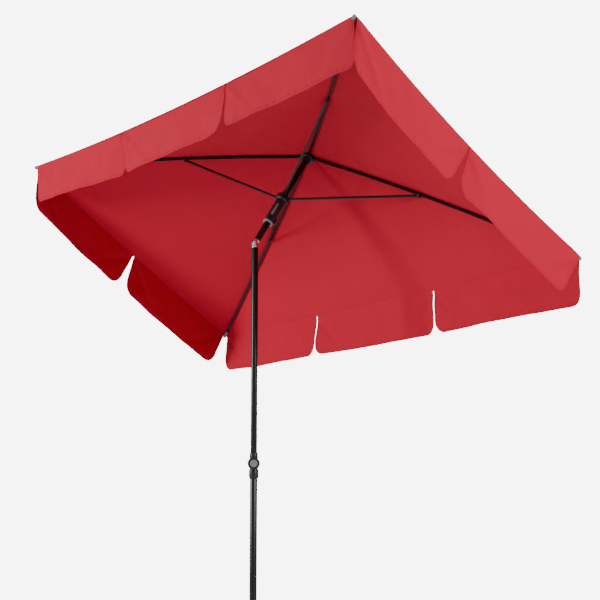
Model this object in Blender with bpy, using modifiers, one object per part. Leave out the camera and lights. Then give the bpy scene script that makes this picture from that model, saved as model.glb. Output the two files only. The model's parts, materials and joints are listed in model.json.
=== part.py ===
"""Patio umbrella with base: a rectangular tilting canopy on four ribs, a two-piece pole and a disc base.

Metres, +Z up. The origin is the middle of the base's underside, on the pole's axis. +X runs along the
canopy's long side and is also the tilt axis; the shaft leans towards +Y. Each moving group of pieces
hangs on an empty that sits on its joint's axis.
"""

import math

import bmesh
import bpy
from mathutils import Matrix, Vector

MM = 0.001
FIT = 0.3 * MM  # gap left between pieces that touch

# canopy
CANOPY_LENGTH = 2.25
CANOPY_WIDTH = 1.20
CANOPY_DROP = 0.277  # from the rib pivots down to the corners
CLOTH_THICKNESS = 1.0 * MM
CROWN_HOLE_SHARE = 0.06  # share of each half side that the opening at the crown takes
VALANCE_HEIGHT = 0.17
VALANCE_CORNER_RADIUS = 0.05
VALANCE_BAND = 6 * MM  # cloth left above a slit
VALANCE_SLIT = 4 * MM
LONG_SIDE_FLAPS = 3

# pole
HINGE_HEIGHT = 1.851
TILT = math.radians(33.45)
CROWN_ABOVE_HINGE = 0.464
UPPER_POLE_RADIUS = 12.5 * MM
LOWER_POLE_WALL = 1.2 * MM
UPPER_POLE_WALL = 1.2 * MM
UPPER_POLE_BOTTOM = 0.80
LOWER_POLE_TOP = 0.985
BORE_PLAY = 0.4 * MM  # radial play of what slides or turns on a pole

# base
BASE_RADIUS = 0.25
BASE_PLATE_THICKNESS = 10 * MM
UNDERLAY_THICKNESS = 2 * MM
UNDERLAY_INSET = 5 * MM
SOCKET_HEIGHT = 0.36
SOCKET_WALL = 2 * MM
SLEEVE_WALL = 2.4 * MM
FLANGE_RADIUS = 45 * MM
FLANGE_THICKNESS = 4 * MM
BASE_KNOB_HEIGHT = 0.30
BASE_KNOB_RADIUS = 22 * MM
BASE_SCREW_RADIUS = 4 * MM

# height clamp
CLAMP_HEIGHT = 1.0
CLAMP_AZIMUTH = math.radians(-34.5)
CLAMP_TOP = 42 * MM
CLAMP_BOTTOM = 55 * MM
CLAMP_WALL = 1.9 * MM  # round the lower pole
CLAMP_BULGE = 2.3 * MM  # added to the wall below the knob
CLAMP_BOSS_RADIUS = 10 * MM
CLAMP_KNOB_RADIUS = 23.5 * MM
CLAMP_KNOB_DEPTH = 16 * MM
CLAMP_FACE_RADIUS = 14.2 * MM
CLAMP_SCREW_RADIUS = 4 * MM
CLAMP_PAD_RADIUS = 6 * MM
CLAMP_PAD_LENGTH = 4.7 * MM
CLAMP_PAD_TRAVEL = 2.5 * MM

# tilt knuckle
KNUCKLE_TONGUE = 10.7 * MM
KNUCKLE_PIN_RADIUS = 2.5 * MM
KNUCKLE_SHANK = 42 * MM

# crown and runner: the rings that ribs and struts hang on
CROWN_PIVOT_OFF_SHAFT = 9.5 * MM
RUNNER_PIVOT_OFF_SLEEVE = 4 * MM
RUNNER_RING_ABOVE_HINGE = 0.237
RUNNER_LIP_ABOVE_HINGE = 0.111
RUNNER_SLEEVE_WALL = 6.6 * MM
RING_WIRE_RADIUS = 1.0 * MM
RING_RIM = 4 * MM  # plastic outside the wire
TONGUE_THICKNESS = 3 * MM  # rib and strut ends that sit in the rings' slots
STRUT_END = 3 * MM  # strut beyond the wire
STRIP_AZIMUTH = math.radians(-36)
STRIP_LENGTH = 60 * MM
STRIP_WIDTH = 9 * MM
BUTTON_AZIMUTH = math.radians(70)
BUTTON_WIDTH = 11 * MM
BUTTON_HEIGHT = 24 * MM
BUTTON_TRAVEL = 3 * MM

# ribs and struts
RIB_WIDTH = 8 * MM
RIB_HEIGHT = 9 * MM
RIB_WALL = 1 * MM
RIB_STATIONS = 10
STRUT_WIDTH = 8 * MM
STRUT_HEIGHT = 7 * MM
STRUT_PLAN_SHARE = 0.435  # where the strut meets the rib, as a share of the rib's plan length
STRUT_PIVOT_DROP = 0.109  # from the rib pivots down to the strut pivots
STRUT_PIVOT_BELOW_RIB = 9 * MM
BRACKET_LENGTH = 15 * MM
BRACKET_WALL = 1.4 * MM
RIVET_RADIUS = 1.5 * MM
TIP_CAP_LENGTH = 45 * MM
TIP_CAP_END = 6 * MM  # solid beyond the rib
TIP_CAP_WALL = 1.7 * MM
TIP_CAP_TO_CLOTH = 0.2 * MM

HALF_LENGTH = CANOPY_LENGTH / 2
HALF_WIDTH = CANOPY_WIDTH / 2
RIB_PLAN_LENGTH = math.hypot(HALF_LENGTH, HALF_WIDTH)
LOWER_POLE_BORE = UPPER_POLE_RADIUS + FIT
LOWER_POLE_RADIUS = LOWER_POLE_BORE + LOWER_POLE_WALL
CLAMP_COLLAR_RADIUS = LOWER_POLE_RADIUS + FIT + CLAMP_WALL
CROWN_PIVOT_RADIUS = UPPER_POLE_RADIUS + CROWN_PIVOT_OFF_SHAFT
RUNNER_SLEEVE_RADIUS = UPPER_POLE_RADIUS + BORE_PLAY + RUNNER_SLEEVE_WALL
RUNNER_PIVOT_RADIUS = RUNNER_SLEEVE_RADIUS + RUNNER_PIVOT_OFF_SLEEVE
BASE_TOP = UNDERLAY_THICKNESS + FIT + BASE_PLATE_THICKNESS
CORNERS = [(1, -1), (1, 1), (-1, 1), (-1, -1)]  # side signs of ribs 1 to 4, along X and Y


def clear_scene():
    for obj in list(bpy.data.objects):
        bpy.data.objects.remove(obj, do_unlink=True)


def new_collection(name):
    collection = bpy.data.collections.new(name)
    bpy.context.scene.collection.children.link(collection)
    return collection


clear_scene()
PARTS = new_collection("patio_umbrella")
CUTTERS = new_collection("cutters")


def make_material(name, colour, roughness, metallic=0.0):
    material = bpy.data.materials.new(name)
    material.use_nodes = True
    shader = material.node_tree.nodes["Principled BSDF"]
    shader.inputs["Base Color"].default_value = (*colour, 1.0)
    shader.inputs["Roughness"].default_value = roughness
    shader.inputs["Metallic"].default_value = metallic
    return material


CLOTH = make_material("red_polyester", (0.56, 0.015, 0.04), 0.8)
BLACK_PAINT = make_material("black_paint", (0.012, 0.013, 0.013), 0.35)
BLACK_PLASTIC = make_material("black_plastic", (0.015, 0.015, 0.016), 0.45)
GREY_PLASTIC = make_material("grey_plastic", (0.22, 0.21, 0.21), 0.5)
CHROME = make_material("chrome", (0.75, 0.76, 0.78), 0.12, 1.0)
STEEL = make_material("zinc_steel", (0.45, 0.45, 0.46), 0.35, 1.0)
RUBBER = make_material("rubber", (0.02, 0.02, 0.02), 0.85)


def frame(name, location, rotation=(0, 0, 0), parent=None):
    """An empty that carries a group of pieces."""
    empty = bpy.data.objects.new(name, None)
    empty.location = location
    empty.rotation_euler = rotation
    empty.parent = parent
    PARTS.objects.link(empty)
    return empty


def add(name, mesh, material, parent, place):
    """A finished mesh as a piece of the umbrella, or as a cutter where it has no material."""
    obj = bpy.data.objects.new(name, mesh)
    obj.parent = parent
    obj.matrix_local = place
    if material is None:
        obj.hide_render = True
        obj.display_type = "WIRE"
        CUTTERS.objects.link(obj)
        return obj
    mesh.materials.append(material)
    PARTS.objects.link(obj)
    return obj


def turned(name, outline, material, parent=None, place=Matrix(), ring=False, steps=24):
    """Outline of (radius, height) points, down the outer side, turned about Z. A ring's outline closes."""
    bm = bmesh.new()
    verts = [bm.verts.new((radius, 0, height)) for radius, height in outline]
    for start, end in zip(verts, verts[1:]):
        bm.edges.new((start, end))
    if ring:
        bm.edges.new((verts[-1], verts[0]))
    mesh = bpy.data.meshes.new(name)
    bm.to_mesh(mesh)
    bm.free()
    obj = add(name, mesh, material, parent, place)
    screw = obj.modifiers.new("turn", "SCREW")
    screw.steps = steps
    screw.render_steps = steps
    screw.use_merge_vertices = True
    screw.merge_threshold = 0.00001
    return obj


def rod(name, radius, bottom, top, material, parent=None, place=Matrix()):
    """A round bar along Z."""
    bm = bmesh.new()
    bmesh.ops.create_cone(
        bm, cap_ends=True, segments=16, radius1=radius, radius2=radius, depth=top - bottom
    )
    bmesh.ops.translate(bm, verts=bm.verts, vec=(0, 0, (top + bottom) / 2))
    mesh = bpy.data.meshes.new(name)
    bm.to_mesh(mesh)
    bm.free()
    mesh.shade_smooth()
    mesh.set_sharp_from_angle(angle=math.radians(40))
    return add(name, mesh, material, parent, place)


def block(name, low, high, material, parent=None, place=Matrix()):
    """A box between two corners."""
    bm = bmesh.new()
    bmesh.ops.create_cube(bm, size=1)
    low, high = Vector(low), Vector(high)
    bmesh.ops.scale(bm, verts=bm.verts, vec=high - low)
    bmesh.ops.translate(bm, verts=bm.verts, vec=(high + low) / 2)
    mesh = bpy.data.meshes.new(name)
    bm.to_mesh(mesh)
    bm.free()
    return add(name, mesh, material, parent, place)


def plate(name, outlines, thickness, material, parent=None, place=Matrix()):
    """A flat piece in XY, centred on Z: the first outline is its edge, the others are holes in it."""
    curve = bpy.data.curves.new(name, "CURVE")
    curve.dimensions = "2D"
    curve.fill_mode = "BOTH"
    curve.extrude = thickness / 2
    for outline in outlines:
        spline = curve.splines.new("POLY")
        spline.points.add(len(outline) - 1)
        for point, (x, y) in zip(spline.points, outline):
            point.co = (x, y, 0, 1)
        spline.use_cyclic_u = True
    drawn = bpy.data.objects.new(name, curve)
    PARTS.objects.link(drawn)
    depsgraph = bpy.context.evaluated_depsgraph_get()
    mesh = bpy.data.meshes.new_from_object(drawn.evaluated_get(depsgraph))
    bpy.data.objects.remove(drawn)
    mesh.name = name
    bm = bmesh.new()
    bm.from_mesh(mesh)
    bmesh.ops.remove_doubles(bm, verts=bm.verts, dist=0.000001)
    bm.to_mesh(mesh)
    bm.free()
    mesh.materials.clear()
    return add(name, mesh, material, parent, place)


def combine(obj, other, operation):
    boolean = obj.modifiers.new(other.name, "BOOLEAN")
    boolean.operation = operation
    boolean.object = other
    boolean.solver = "EXACT"


def arc(centre, radius, start, end, steps=6):
    """Points of a round stretch, angles in degrees."""
    angles = [math.radians(start + (end - start) * step / steps) for step in range(steps + 1)]
    return [(centre[0] + radius * math.cos(a), centre[1] + radius * math.sin(a)) for a in angles]


UPRIGHT_XZ = Matrix.Rotation(math.pi / 2, 4, "X")  # a plate drawn in XY stands in XZ
UPRIGHT_YZ = Matrix(((0, 0, 1, 0), (1, 0, 0, 0), (0, 1, 0, 0), (0, 0, 0, 1)))  # and here in YZ
ALONG_X = Matrix.Rotation(math.pi / 2, 4, "Y")  # what is turned about Z points along +X


# The base: rubber underlay, steel disc, welded socket with its plastic sleeve and a hand screw.

def base():
    turned("base_underlay", [
        (0, UNDERLAY_THICKNESS),
        (BASE_RADIUS - UNDERLAY_INSET, UNDERLAY_THICKNESS),
        (BASE_RADIUS - UNDERLAY_INSET, 0),
        (0, 0),
    ], RUBBER, steps=40)
    edge = 3 * MM
    plate_bottom = UNDERLAY_THICKNESS + FIT
    turned("base_plate", [
        (0, BASE_TOP),
        (BASE_RADIUS - edge, BASE_TOP),
        (BASE_RADIUS - edge / 3, BASE_TOP - edge / 3),
        (BASE_RADIUS, BASE_TOP - edge),
        (BASE_RADIUS, plate_bottom),
        (0, plate_bottom),
    ], BLACK_PAINT, steps=40)

    sleeve_bore = LOWER_POLE_RADIUS + FIT
    sleeve_radius = sleeve_bore + SLEEVE_WALL
    socket_bore = sleeve_radius + FIT
    socket_radius = socket_bore + SOCKET_WALL
    socket_bottom = BASE_TOP + FIT
    socket_top = BASE_TOP + SOCKET_HEIGHT
    boss_end = socket_radius + 8 * MM
    socket = turned("base_socket", [
        (socket_radius, socket_top),
        (socket_radius, socket_bottom + FLANGE_THICKNESS + 2 * MM),
        (socket_radius + 2 * MM, socket_bottom + FLANGE_THICKNESS),
        (FLANGE_RADIUS, socket_bottom + FLANGE_THICKNESS),
        (FLANGE_RADIUS, socket_bottom),
        (socket_bore, socket_bottom),
        (socket_bore, socket_top),
    ], BLACK_PAINT, ring=True)

    axis = frame("base_knob_axis", (0, 0, BASE_KNOB_HEIGHT), (0, 0, -math.pi / 2))
    boss = rod("base_boss", 8 * MM, socket_bore + 0.5 * MM, boss_end, None, axis, ALONG_X)
    combine(socket, boss, "UNION")
    screw_way = rod("base_screw_way", BASE_SCREW_RADIUS + FIT, LOWER_POLE_RADIUS, boss_end + 5 * MM,
                    None, axis, ALONG_X)
    combine(socket, screw_way, "DIFFERENCE")

    collar = 12 * MM
    sleeve = turned("base_sleeve", [
        (sleeve_bore + 1.5 * MM, socket_top + collar),
        (socket_radius, socket_top + collar - 2 * MM),
        (socket_radius, socket_top + FIT),
        (sleeve_radius, socket_top + FIT),
        (sleeve_radius, socket_bottom),
        (sleeve_bore, socket_bottom),
        (sleeve_bore, socket_top + collar),
    ], BLACK_PLASTIC, ring=True)
    combine(sleeve, screw_way, "DIFFERENCE")

    knob_back = boss_end + 2 * MM
    knob_front = knob_back + 16 * MM
    screw_start = LOWER_POLE_RADIUS + BORE_PLAY
    screw_end = knob_front - 4 * MM
    rod("base_screw", BASE_SCREW_RADIUS, screw_start, screw_end, STEEL, axis, ALONG_X)
    knob = turned("base_knob", [
        (0, knob_front),
        (BASE_KNOB_RADIUS - 4 * MM, knob_front),
        (BASE_KNOB_RADIUS, knob_front - 3 * MM),
        (BASE_KNOB_RADIUS, knob_back + 6 * MM),
        (BASE_KNOB_RADIUS - 11 * MM, knob_back),
        (BASE_SCREW_RADIUS + FIT, knob_back),
        (BASE_SCREW_RADIUS + FIT, screw_end + FIT),
        (0, screw_end + FIT),
    ], BLACK_PLASTIC, axis, ALONG_X, steps=30)
    for lobe in range(5):
        turn = Matrix.Rotation(lobe * 2 * math.pi / 5, 4, "X")
        out = Matrix.Translation((0, 0, BASE_KNOB_RADIUS + 4 * MM))
        grip = rod(f"base_knob_grip_{lobe}", 8 * MM, knob_back - MM, knob_front + MM, None, axis,
                   turn @ out @ ALONG_X)
        combine(knob, grip, "DIFFERENCE")


# The lower pole with its foot plug, and the height clamp that closes its top.

def lower_pole():
    bottom = BASE_TOP + FIT
    foot = 3 * MM
    turned("lower_pole", [
        (LOWER_POLE_RADIUS, LOWER_POLE_TOP),
        (LOWER_POLE_RADIUS, bottom + foot + FIT),
        (LOWER_POLE_BORE, bottom + foot + FIT),
        (LOWER_POLE_BORE, LOWER_POLE_TOP),
    ], BLACK_PAINT, ring=True)
    plug_radius = LOWER_POLE_BORE - FIT
    turned("lower_pole_foot", [
        (0, bottom + 22 * MM),
        (plug_radius - MM, bottom + 22 * MM),
        (plug_radius, bottom + 20 * MM),
        (plug_radius, bottom + foot),
        (LOWER_POLE_RADIUS, bottom + foot),
        (LOWER_POLE_RADIUS, bottom),
        (0, bottom),
    ], BLACK_PLASTIC)


def height_clamp():
    low = CLAMP_HEIGHT - CLAMP_BOTTOM
    high = CLAMP_HEIGHT + CLAMP_TOP
    lower_bore = LOWER_POLE_RADIUS + FIT
    upper_bore = UPPER_POLE_RADIUS + BORE_PLAY
    waist = CLAMP_COLLAR_RADIUS - 0.6 * MM
    bulge = CLAMP_COLLAR_RADIUS + CLAMP_BULGE
    step = LOWER_POLE_TOP + FIT
    housing = turned("clamp_housing", [
        (upper_bore + 1.6 * MM, high),
        (CLAMP_COLLAR_RADIUS - 0.4 * MM, high - 2 * MM),
        (CLAMP_COLLAR_RADIUS, high - 20 * MM),
        (waist, high - 22 * MM),
        (waist, low + 38 * MM),
        (bulge, low + 30 * MM),
        (bulge, low + 12 * MM),
        (CLAMP_COLLAR_RADIUS, low),
        (lower_bore, low),
        (lower_bore, step),
        (upper_bore, step),
        (upper_bore, high),
    ], BLACK_PLASTIC, ring=True)

    axis = frame("clamp_axis", (0, 0, CLAMP_HEIGHT), (0, 0, CLAMP_AZIMUTH))
    pad_back = upper_bore + CLAMP_PAD_LENGTH
    pad_end = pad_back + CLAMP_PAD_TRAVEL + MM
    boss_end = pad_end + 3.9 * MM
    boss = rod("clamp_boss", CLAMP_BOSS_RADIUS, upper_bore + MM, boss_end, None, axis, ALONG_X)
    combine(housing, boss, "UNION")
    pad_way = turned("clamp_pad_way", [
        (0, boss_end + 5 * MM),
        (CLAMP_SCREW_RADIUS + FIT, boss_end + 5 * MM),
        (CLAMP_SCREW_RADIUS + FIT, pad_end),
        (CLAMP_PAD_RADIUS + FIT, pad_end),
        (CLAMP_PAD_RADIUS + FIT, UPPER_POLE_RADIUS - 3 * MM),
        (0, UPPER_POLE_RADIUS - 3 * MM),
    ], None, axis, ALONG_X)
    combine(housing, pad_way, "DIFFERENCE")

    rod("clamp_pad", CLAMP_PAD_RADIUS, upper_bore, pad_back, BLACK_PLASTIC, axis, ALONG_X)
    knob_back = boss_end + MM
    knob_front = knob_back + CLAMP_KNOB_DEPTH
    screw_end = knob_front - 5 * MM
    rod("clamp_screw", CLAMP_SCREW_RADIUS, pad_back + FIT, screw_end, STEEL, axis, ALONG_X)
    recess = knob_front - 2 * MM
    turned("clamp_knob", [
        (0, recess),
        (CLAMP_FACE_RADIUS + FIT, recess),
        (CLAMP_FACE_RADIUS + FIT, knob_front),
        (CLAMP_KNOB_RADIUS - 3 * MM, knob_front),
        (CLAMP_KNOB_RADIUS, knob_front - 3 * MM),
        (CLAMP_KNOB_RADIUS, knob_back + 4 * MM),
        (CLAMP_KNOB_RADIUS - 6 * MM, knob_back),
        (CLAMP_SCREW_RADIUS + FIT, knob_back),
        (CLAMP_SCREW_RADIUS + FIT, screw_end + FIT),
        (0, screw_end + FIT),
    ], BLACK_PLASTIC, axis, ALONG_X)
    turned("clamp_knob_face", [
        (0, knob_front + MM),
        (CLAMP_FACE_RADIUS - 1.5 * MM, knob_front + MM),
        (CLAMP_FACE_RADIUS, knob_front),
        (CLAMP_FACE_RADIUS, recess + FIT),
        (0, recess + FIT),
    ], GREY_PLASTIC, axis, ALONG_X)


# The upper pole slides in the lower one and turns in a bush at its foot. Its top carries the tilt fork.

def upper_pole(hinge):
    pole_bore = UPPER_POLE_RADIUS - UPPER_POLE_WALL
    bottom = UPPER_POLE_BOTTOM - HINGE_HEIGHT
    fork_bottom = -UPPER_POLE_RADIUS - 4 * MM
    turned("upper_pole", [
        (UPPER_POLE_RADIUS, fork_bottom - FIT),
        (UPPER_POLE_RADIUS, bottom),
        (pole_bore, bottom),
        (pole_bore, fork_bottom - FIT),
    ], BLACK_PAINT, hinge, ring=True)
    spigot = 6 * MM
    collar = 3 * MM
    bush_top = bottom - collar - 2 * FIT
    bush_bottom = bush_top - 25 * MM
    turned("upper_pole_end", [
        (0, bottom + 30 * MM),
        (pole_bore - FIT, bottom + 30 * MM),
        (pole_bore - FIT, bottom - FIT),
        (UPPER_POLE_RADIUS, bottom - FIT),
        (UPPER_POLE_RADIUS, bottom - FIT - collar),
        (spigot, bottom - FIT - collar),
        (spigot, bush_bottom - FIT),
        (spigot + 2.5 * MM, bush_bottom - FIT),
        (spigot + 2.5 * MM, bush_bottom - FIT - 4 * MM),
        (0, bush_bottom - FIT - 4 * MM),
    ], BLACK_PLASTIC, hinge)
    turned("slide_bush", [
        (UPPER_POLE_RADIUS, bush_top),
        (UPPER_POLE_RADIUS, bush_bottom),
        (spigot + FIT, bush_bottom),
        (spigot + FIT, bush_top),
    ], BLACK_PLASTIC, hinge, ring=True)

    slot = KNUCKLE_TONGUE / 2 + FIT
    fork = rod("knuckle_fork", UPPER_POLE_RADIUS, fork_bottom, UPPER_POLE_RADIUS, CHROME, hinge)
    round_top = plate("fork_outline", [
        [(-2 * UPPER_POLE_RADIUS, 2 * fork_bottom), (2 * UPPER_POLE_RADIUS, 2 * fork_bottom),
         (2 * UPPER_POLE_RADIUS, fork_bottom / 2), (UPPER_POLE_RADIUS, fork_bottom / 2)]
        + arc((0, 0), UPPER_POLE_RADIUS - 0.2 * MM, 0, 180, 12)
        + [(-UPPER_POLE_RADIUS, fork_bottom / 2), (-2 * UPPER_POLE_RADIUS, fork_bottom / 2)]
    ], 4 * UPPER_POLE_RADIUS, None, hinge, UPRIGHT_YZ)
    combine(fork, round_top, "INTERSECT")
    shank = rod("fork_shank", pole_bore - FIT, fork_bottom - KNUCKLE_SHANK, fork_bottom + MM, None, hinge)
    combine(fork, shank, "UNION")
    side = 2 * UPPER_POLE_RADIUS
    combine(fork, block("fork_slot", (-slot, -side, -UPPER_POLE_RADIUS - 0.5 * MM), (slot, side, side),
                        None, hinge), "DIFFERENCE")
    combine(fork, rod("fork_pin_way", KNUCKLE_PIN_RADIUS + FIT, -side, side, None, hinge, ALONG_X),
            "DIFFERENCE")
    pin_half = UPPER_POLE_RADIUS + 0.6 * MM
    rod("knuckle_pin", KNUCKLE_PIN_RADIUS, -pin_half, pin_half, STEEL, hinge, ALONG_X)


# The tilting shaft: chrome tongue, tube, crown hub with its wire ring, and the finial.

def notched_ring(name, outline, slot_radius, slot_low, slot_high, azimuths, parent):
    """A turned plastic ring with one slot for each rib or strut end."""
    ring = turned(name, outline, BLACK_PLASTIC, parent, ring=True)
    half = TONGUE_THICKNESS / 2 + FIT
    for number, azimuth in enumerate(azimuths, 1):
        turn = Matrix.Rotation(azimuth, 4, "Z")
        slot = block(f"{name}_slot_{number}", (slot_radius, -half, slot_low), (0.05, half, slot_high),
                     None, parent, turn)
        combine(ring, slot, "DIFFERENCE")
    return ring


def ring_wire(name, radius, parent, height):
    """The wire ring that the rib or strut ends turn on."""
    turned(name, arc((radius, 0), RING_WIRE_RADIUS, 90, -210, 5), STEEL, parent,
           Matrix.Translation((0, 0, height)), ring=True)


def shaft(tilt, azimuths):
    tube_bore = UPPER_POLE_RADIUS - UPPER_POLE_WALL
    collar_low = UPPER_POLE_RADIUS + 0.4 * MM
    collar_high = collar_low + 3.6 * MM
    tongue_radius = UPPER_POLE_RADIUS - 0.5 * MM
    tongue = plate("knuckle_tongue", [
        arc((0, 0), tongue_radius, -180, 0, 12)
        + [(tongue_radius, collar_low + MM), (-tongue_radius, collar_low + MM)]
    ], KNUCKLE_TONGUE, CHROME, tilt, UPRIGHT_YZ)
    stem = turned("tongue_stem", [
        (0, collar_high + KNUCKLE_SHANK),
        (tube_bore - FIT, collar_high + KNUCKLE_SHANK),
        (tube_bore - FIT, collar_high),
        (UPPER_POLE_RADIUS, collar_high),
        (UPPER_POLE_RADIUS, collar_low),
        (0, collar_low),
    ], None, tilt)
    combine(tongue, stem, "UNION")
    pin_way = rod("tongue_pin_way", KNUCKLE_PIN_RADIUS + FIT, -0.03, 0.03, None, tilt, ALONG_X)
    combine(tongue, pin_way, "DIFFERENCE")

    hub_top = CROWN_ABOVE_HINGE + 9 * MM
    hub_low = CROWN_ABOVE_HINGE - 7 * MM
    tube_top = CROWN_ABOVE_HINGE - 12 * MM
    turned("shaft_tube", [
        (UPPER_POLE_RADIUS, tube_top),
        (UPPER_POLE_RADIUS, collar_high + FIT),
        (tube_bore, collar_high + FIT),
        (tube_bore, tube_top),
    ], BLACK_PAINT, tilt, ring=True)

    groove = RING_WIRE_RADIUS + FIT
    skirt = UPPER_POLE_RADIUS + FIT + 3 * MM
    stud_way = 4.3 * MM
    notched_ring("crown_hub", [
        (CROWN_PIVOT_RADIUS + groove, hub_top),
        (CROWN_PIVOT_RADIUS + RING_RIM, hub_top),
        (CROWN_PIVOT_RADIUS + RING_RIM, hub_low),
        (skirt, hub_low),
        (skirt, hub_low - 22 * MM),
        (UPPER_POLE_RADIUS + FIT, hub_low - 22 * MM),
        (UPPER_POLE_RADIUS + FIT, tube_top + FIT),
        (stud_way, tube_top + FIT),
        (stud_way, hub_top),
        (CROWN_PIVOT_RADIUS - groove, hub_top),
        (CROWN_PIVOT_RADIUS - groove, CROWN_ABOVE_HINGE - groove),
        (CROWN_PIVOT_RADIUS + groove, CROWN_ABOVE_HINGE - groove),
    ], CROWN_PIVOT_RADIUS - RING_RIM - FIT, hub_low - MM, hub_top + MM, azimuths, tilt)
    ring_wire("crown_wire", CROWN_PIVOT_RADIUS, tilt, CROWN_ABOVE_HINGE)

    seat = hub_top + FIT
    turned("finial", [
        (0, seat + 40 * MM),
        *[(radius, seat + 25 * MM + height) for radius, height in arc((0, 0), 15 * MM, 60, -40, 6)],
        (9 * MM, seat + 8 * MM),
        (CROWN_PIVOT_RADIUS + 2 * MM, seat + 4 * MM),
        (CROWN_PIVOT_RADIUS + 2 * MM, seat),
        (stud_way - FIT, seat),
        (stud_way - FIT, tube_top + FIT),
        (0, tube_top + FIT),
    ], BLACK_PLASTIC, tilt)


# The runner: sleeve with its notched ring, grey lip, grey strip and a sprung release button.

def runner(tilt, azimuths):
    bore = UPPER_POLE_RADIUS + BORE_PLAY
    rim = RUNNER_PIVOT_RADIUS + RING_RIM
    groove = RING_WIRE_RADIUS + FIT
    ring_top = RUNNER_RING_ABOVE_HINGE + 9 * MM
    ring_low = RUNNER_RING_ABOVE_HINGE - 9 * MM
    lip_top = RUNNER_LIP_ABOVE_HINGE + 4 * MM
    lip_low = RUNNER_LIP_ABOVE_HINGE - 4 * MM
    sleeve = notched_ring("runner_sleeve", [
        (RUNNER_PIVOT_RADIUS + groove, ring_top),
        (rim, ring_top),
        (rim, ring_low),
        (RUNNER_SLEEVE_RADIUS, ring_low - 5 * MM),
        (RUNNER_SLEEVE_RADIUS, lip_top + FIT),
        (bore, lip_top + FIT),
        (bore, ring_top),
        (RUNNER_PIVOT_RADIUS - groove, ring_top),
        (RUNNER_PIVOT_RADIUS - groove, RUNNER_RING_ABOVE_HINGE - groove),
        (RUNNER_PIVOT_RADIUS + groove, RUNNER_RING_ABOVE_HINGE - groove),
    ], RUNNER_PIVOT_RADIUS - STRUT_END - 0.8 * MM, ring_low - 8 * MM, ring_top + MM, azimuths, tilt)
    ring_wire("runner_wire", RUNNER_PIVOT_RADIUS, tilt, RUNNER_RING_ABOVE_HINGE)
    lip = RUNNER_SLEEVE_RADIUS + MM
    turned("runner_lip", [
        (lip - MM, lip_top),
        (lip, lip_top - 2 * MM),
        (lip, lip_low + 2 * MM),
        (lip - MM, lip_low),
        (bore, lip_low),
        (bore, lip_top),
    ], GREY_PLASTIC, tilt, ring=True)

    strip_middle = (lip_top + ring_low - 5 * MM) / 2
    facing = Matrix.Rotation(STRIP_AZIMUTH, 4, "Z") @ Matrix.Translation((0, 0, strip_middle)) @ UPRIGHT_YZ
    end = (STRIP_LENGTH - STRIP_WIDTH) / 2
    depth = 3 * MM
    middle = RUNNER_SLEEVE_RADIUS + 0.8 * MM - depth / 2
    outline = arc((0, end), STRIP_WIDTH / 2, 0, 180) + arc((0, -end), STRIP_WIDTH / 2, 180, 360)
    plate("runner_strip", [outline], depth, GREY_PLASTIC, tilt, facing @ Matrix.Translation((0, 0, middle)))
    wide = STRIP_WIDTH / 2 + FIT
    pocket = arc((0, end), wide, 0, 180) + arc((0, -end), wide, 180, 360)
    pocket_place = facing @ Matrix.Translation((0, 0, middle + MM))
    combine(sleeve, plate("strip_pocket", [pocket], depth + 2 * MM + 2 * FIT, None, tilt, pocket_place),
            "DIFFERENCE")

    button_middle = lip_top + BUTTON_HEIGHT / 2 + 3 * MM
    button_frame = frame("button_axis", (0, 0, button_middle), (0, 0, BUTTON_AZIMUTH), tilt)
    inner = RUNNER_SLEEVE_RADIUS - 2 * MM
    low = Vector((inner, -BUTTON_WIDTH / 2, -BUTTON_HEIGHT / 2))
    high = Vector((RUNNER_SLEEVE_RADIUS + 6.5 * MM, BUTTON_WIDTH / 2, BUTTON_HEIGHT / 2))
    button = block("runner_button", low, high, BLACK_PLASTIC, button_frame)
    bevel = button.modifiers.new("round", "BEVEL")
    bevel.width = 2 * MM
    bevel.segments = 2
    gap = Vector((0, FIT, FIT))
    travel = Vector((BUTTON_TRAVEL + FIT, 0, 0))
    way = block("button_way", low - gap - travel, high + gap, None, button_frame)
    combine(sleeve, way, "DIFFERENCE")


# One rib: arched channel with a flat eye at the crown, strut bracket with its rivet, and a tip cap.

RIB_REACH = RIB_PLAN_LENGTH - CROWN_PIVOT_RADIUS  # plan length from the rib's pivot to the corner


def rib_arch():
    """Coefficients of the rib's drop a x + b x^2 through the bracket and the corner."""
    slope_guess = 0.21
    lift = STRUT_PIVOT_BELOW_RIB
    x = STRUT_PLAN_SHARE * RIB_PLAN_LENGTH - CROWN_PIVOT_RADIUS + lift * math.sin(slope_guess)
    drop = STRUT_PIVOT_DROP - lift * math.cos(slope_guess)
    bend = (CANOPY_DROP / RIB_REACH - drop / x) / (RIB_REACH - x)
    return drop / x - bend * x, bend, x


ARCH_SLOPE, ARCH_BEND, BRACKET_X = rib_arch()


def rib_height(x):
    return -(ARCH_SLOPE + ARCH_BEND * x) * x


def rib_slope(x):
    return math.atan(ARCH_SLOPE + 2 * ARCH_BEND * x)


def on_rib(x):
    """A place on the rib's centre line, with X along the rib."""
    return Matrix.Translation((x, 0, rib_height(x))) @ Matrix.Rotation(rib_slope(x), 4, "Y")


STRUT_PIVOT = on_rib(BRACKET_X) @ Vector((0, 0, -STRUT_PIVOT_BELOW_RIB))
CAP_HALF_WIDTH = RIB_WIDTH / 2 + FIT + TIP_CAP_WALL
CAP_HALF_HEIGHT = RIB_HEIGHT / 2 + 2 * FIT + TIP_CAP_WALL - 0.4 * MM


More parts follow.
